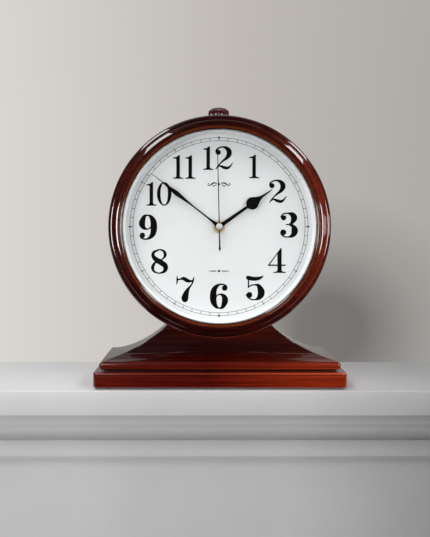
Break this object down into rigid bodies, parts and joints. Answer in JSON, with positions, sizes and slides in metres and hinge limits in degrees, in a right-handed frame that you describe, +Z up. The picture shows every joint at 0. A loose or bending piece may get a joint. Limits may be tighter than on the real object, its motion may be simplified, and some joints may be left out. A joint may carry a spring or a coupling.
{
  "type": "mantel clock",
  "caption": "Round quartz mantel clock shaped like a pocket watch, with a dark red lacquered case on a coved pedestal and stepped plinth.",
  "frame": {"origin": "middle of the clock's footprint, on the surface that it stands on", "axes": "+Z up; -Y is the way the dial faces; +X to the right of someone reading the dial"},
  "size_m": [0.2504, 0.082, 0.2855],
  "materials": {
    "mahogany_lacquer": "wood-effect moulding, dark red mahogany grain under a polished lacquer",
    "black_plastic": "fine moulded texture",
    "black_rubber": "matt",
    "screw_steel": "zinc-plated",
    "brass": "turned and polished",
    "clear_glass": "clear, flat, polished both sides",
    "pale_plastic": "satin, pale grey-white",
    "white_dial": "satin white print ground",
    "bare_steel": "bright",
    "copper_wire": "enamelled copper winding",
    "board_laminate": "brown laminate",
    "cell_sleeve": "printed film, plain",
    "black_enamel": "satin black",
    "silver_cap": "polished",
    "natural_plastic": "natural acetal"
  },
  "bodies": {
    "clock_case": {"plinth": "mahogany_lacquer", "pedestal": "mahogany_lacquer", "base_plate": "black_plastic", "base_screws": "screw_steel", "feet": "black_rubber", "pedestal_screws": "screw_steel", "head_screws": "screw_steel", "head_washers": "screw_steel", "bezel": "mahogany_lacquer", "lens": "clear_glass", "lens_gasket": "black_rubber", "dial_surround": "pale_plastic", "dial": "white_dial", "drum": "mahogany_lacquer", "rear_cover": "black_plastic", "rear_screws": "screw_steel", "bezel_screws": "screw_steel", "crown_washer": "brass", "movement_front_case": "black_plastic", "movement_back_case": "black_plastic", "middle_plate": "natural_plastic", "stator": "bare_steel", "coil_core": "bare_steel", "coil_bobbin": "natural_plastic", "coil_winding": "copper_wire", "circuit_board": "board_laminate", "timer_chip": "black_plastic", "quartz_crystal": "bare_steel", "contact_positive": "bare_steel", "contact_negative": "bare_steel", "threaded_bushing": "brass", "mounting_nut": "brass", "dial_washer": "brass", "movement_gasket": "black_rubber"},
    "crown": {"crown": "mahogany_lacquer", "crown_screw": "screw_steel"},
    "seconds": {"seconds_wheel": "natural_plastic", "second_hand": "black_enamel", "second_hand_cap": "silver_cap"},
    "intermediate": {"intermediate_wheel": "natural_plastic"},
    "rotor": {"rotor_magnet": "bare_steel", "rotor_pinion": "natural_plastic"},
    "third": {"third_wheel": "natural_plastic"},
    "minutes": {"centre_wheel": "natural_plastic", "clutch_spring": "bare_steel", "cannon_pinion": "natural_plastic", "minute_hand": "black_enamel"},
    "minute_work": {"minute_work_wheel": "natural_plastic"},
    "hours": {"hour_wheel": "natural_plastic", "hour_hand": "black_enamel"},
    "setting_knob": {"setting_knob": "black_plastic"},
    "battery": {"battery_can": "bare_steel", "battery_sleeve": "cell_sleeve", "battery_terminal": "bare_steel"}
  },
  "joints": [
    {"name": "seconds_turn", "type": "hinge", "parent": "clock_case", "child": "seconds", "pos_m": [0, 0, 0.1603], "axis": [0, 1, 0], "continuous": true},
    {"name": "intermediate_turn", "type": "hinge", "parent": "clock_case", "child": "intermediate", "pos_m": [0.00308, 0, 0.16876], "axis": [0, 1, 0], "continuous": true},
    {"name": "rotor_turn", "type": "hinge", "parent": "clock_case", "child": "rotor", "pos_m": [0.00914, 0, 0.16983], "axis": [0, 1, 0], "continuous": true},
    {"name": "third_turn", "type": "hinge", "parent": "clock_case", "child": "third", "pos_m": [-0.00636, 0, 0.16666], "axis": [0, 1, 0], "continuous": true},
    {"name": "minutes_turn", "type": "hinge", "parent": "clock_case", "child": "minutes", "pos_m": [0, 0, 0.1603], "axis": [0, 1, 0], "continuous": true},
    {"name": "minute_work_turn", "type": "hinge", "parent": "clock_case", "child": "minute_work", "pos_m": [0.00902, 0, 0.16358], "axis": [0, 1, 0], "continuous": true},
    {"name": "hours_turn", "type": "hinge", "parent": "clock_case", "child": "hours", "pos_m": [0, 0, 0.1603], "axis": [0, 1, 0], "continuous": true},
    {"name": "knob_turn", "type": "hinge", "parent": "clock_case", "child": "setting_knob", "pos_m": [0.01858, 0, 0.16275], "axis": [0, 1, 0], "continuous": true},
    {"name": "crown_turn", "type": "hinge", "parent": "clock_case", "child": "crown", "pos_m": [0, 0.002, 0.2745], "axis": [0, 0, 1], "continuous": true},
    {"name": "battery_slide", "type": "slide", "parent": "clock_case", "child": "battery", "axis": [0, 1, 0], "range_m": [0, 0.032]}
  ],
  "couplings": [
    {"joint": "intermediate_turn", "follows": "seconds_turn", "ratio": -5},
    {"joint": "rotor_turn", "follows": "seconds_turn", "ratio": 30},
    {"joint": "third_turn", "follows": "seconds_turn", "ratio": -0.125},
    {"joint": "minutes_turn", "follows": "seconds_turn", "ratio": 0.016667},
    {"joint": "minute_work_turn", "follows": "seconds_turn", "ratio": -0.0055556},
    {"joint": "hours_turn", "follows": "seconds_turn", "ratio": 0.0013889},
    {"joint": "knob_turn", "follows": "seconds_turn", "ratio": 0.016667}
  ]
}
